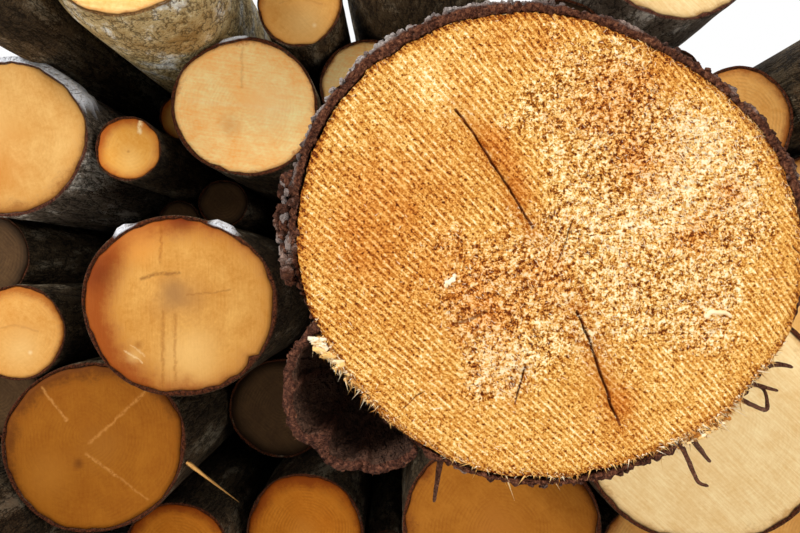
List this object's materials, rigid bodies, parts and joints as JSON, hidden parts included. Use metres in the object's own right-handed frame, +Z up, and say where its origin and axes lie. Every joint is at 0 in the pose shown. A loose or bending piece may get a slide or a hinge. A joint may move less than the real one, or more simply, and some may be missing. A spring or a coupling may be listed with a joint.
{
  "type": "stack of logs",
  "caption": "Stack of sawn round logs with the bark on, piled lengthwise on the ground, with one thick log standing forward and its sawn end face shown.",
  "frame": {"origin": "on the ground under the middle of the pile", "axes": "+Z up, +Y along the logs away from the end faces that the picture shows, +X to the right as seen from there"},
  "size_m": [1.4571, 2.727, 0.8748],
  "materials": {
    "wood": "matt",
    "bark": "matt"
  },
  "bodies": {
    "root": {"front_log": "wood", "row_1_log_1": "wood", "row_1_log_2": "wood", "row_1_log_3": "wood", "row_1_log_4": "wood", "row_1_log_5": "wood", "row_1_log_6": "wood", "row_1_log_7": "wood", "row_1_log_8": "wood", "row_1_log_9": "wood", "row_2_log_1": "wood", "row_2_log_2": "wood", "row_2_log_3": "wood", "row_2_log_4": "wood", "row_2_log_5": "wood", "row_2_log_6": "wood", "row_2_log_7": "wood", "row_2_log_8": "wood", "row_3_log_1": "wood", "row_3_log_2": "wood", "row_3_log_3": "wood", "row_3_log_4": "wood", "row_3_log_5": "wood", "row_3_log_6": "wood", "row_4_log_1": "wood", "row_4_log_2": "wood", "row_4_log_3": "wood", "row_4_log_4": "wood", "row_4_log_5": "wood", "row_4_log_6": "wood", "row_4_log_7": "wood", "row_4_log_8": "wood", "row_5_log_1": "wood", "row_5_log_2": "wood", "row_5_log_3": "wood", "row_5_log_4": "wood", "row_5_log_5": "wood", "row_5_log_6": "wood", "row_5_log_7": "wood", "row_5_log_8": "wood", "row_6_log_1": "wood", "row_6_log_2": "wood", "row_6_log_3": "wood", "row_6_log_4": "wood", "row_6_log_5": "wood", "row_6_log_6": "wood", "row_6_log_7": "wood", "row_6_log_8": "wood", "peeled_bark": "bark"}
  },
  "joints": []
}
